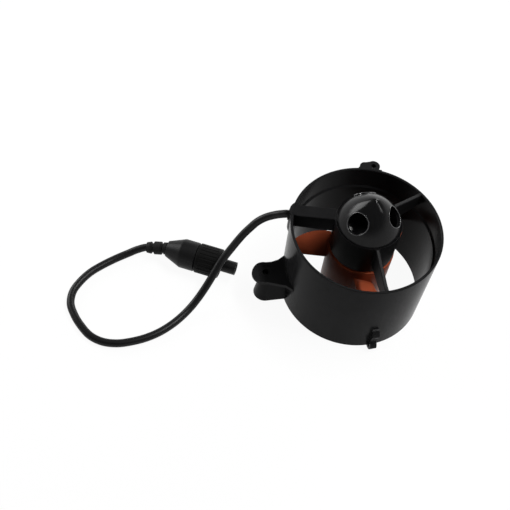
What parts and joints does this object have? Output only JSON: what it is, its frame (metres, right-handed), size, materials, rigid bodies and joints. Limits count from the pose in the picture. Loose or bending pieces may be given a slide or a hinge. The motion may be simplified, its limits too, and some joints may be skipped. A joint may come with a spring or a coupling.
{
  "type": "ducted underwater thruster",
  "caption": "Round black duct with a motor pod on struts, a vented bullet nose, an orange propeller behind it, a bracket arm, lugs and a cable that ends in a screw-ring plug.",
  "frame": {"origin": "centre of the duct's rear rim, on the plane that the rim stands on", "axes": "+Z along the duct's axis towards the nose and the water inlet; -X towards the bracket arm; +Y completes a right-handed frame"},
  "size_m": [0.2993, 0.1327, 0.1195],
  "materials": {
    "duct_plastic": "satin moulded black",
    "frame_plastic": "fine matt black",
    "nose_plastic": "smooth satin black",
    "orange_plastic": "satin orange",
    "fastener_steel": "stainless, turned",
    "motor_aluminium": "black anodised",
    "core_steel": "varnished laminations",
    "copper_wire": "enamelled copper",
    "bearing_steel": "ground and polished",
    "magnet_nickel": "nickel plate",
    "potting_resin": "cast resin",
    "lead_jacket": "extruded jacket",
    "black_rubber": "moulded rubber",
    "cable_jacket": "smooth extruded jacket",
    "plug_plastic": "fine moulded texture",
    "ring_plastic": "fluted, matt",
    "insert_plastic": "moulded",
    "contact_brass": "gold flash",
    "washer_plastic": "self-lubricating"
  },
  "bodies": {
    "housing": {"duct_shell": "duct_plastic", "strut_frame": "frame_plastic", "nose_cap": "nose_plastic", "mount_bracket": "frame_plastic", "bracket_screws": "fastener_steel", "bearing_tube": "motor_aluminium", "tube_screws": "fastener_steel", "stator_core": "core_steel", "stator_windings": "copper_wire", "front_bearing": "bearing_steel", "rear_bearing": "bearing_steel", "lead_potting": "potting_resin", "motor_leads": "lead_jacket", "cable_grommet": "black_rubber", "cable": "cable_jacket", "strain_relief": "black_rubber", "plug_body": "plug_plastic", "plug_shank": "plug_plastic", "plug_insert": "insert_plastic", "plug_pins": "contact_brass", "plug_seal": "black_rubber"},
    "rotor": {"propeller": "orange_plastic", "rotor_bell": "core_steel", "rotor_magnets": "magnet_nickel", "bell_screws": "fastener_steel", "motor_shaft": "bearing_steel", "thrust_washer": "washer_plastic", "shaft_clip": "fastener_steel", "prop_washer": "fastener_steel", "prop_nut": "fastener_steel"},
    "coupling": {"coupling_ring": "ring_plastic"}
  },
  "joints": [
    {"name": "prop_spin", "type": "hinge", "parent": "housing", "child": "rotor", "pos_m": [0, 0, 0.03], "axis": [0, 0, 1], "continuous": true},
    {"name": "coupling_ring_turn", "type": "hinge", "parent": "housing", "child": "coupling", "pos_m": [-0.152, 0.046, 0.0128], "axis": [0.8949, -0.4462, 0], "continuous": true}
  ]
}
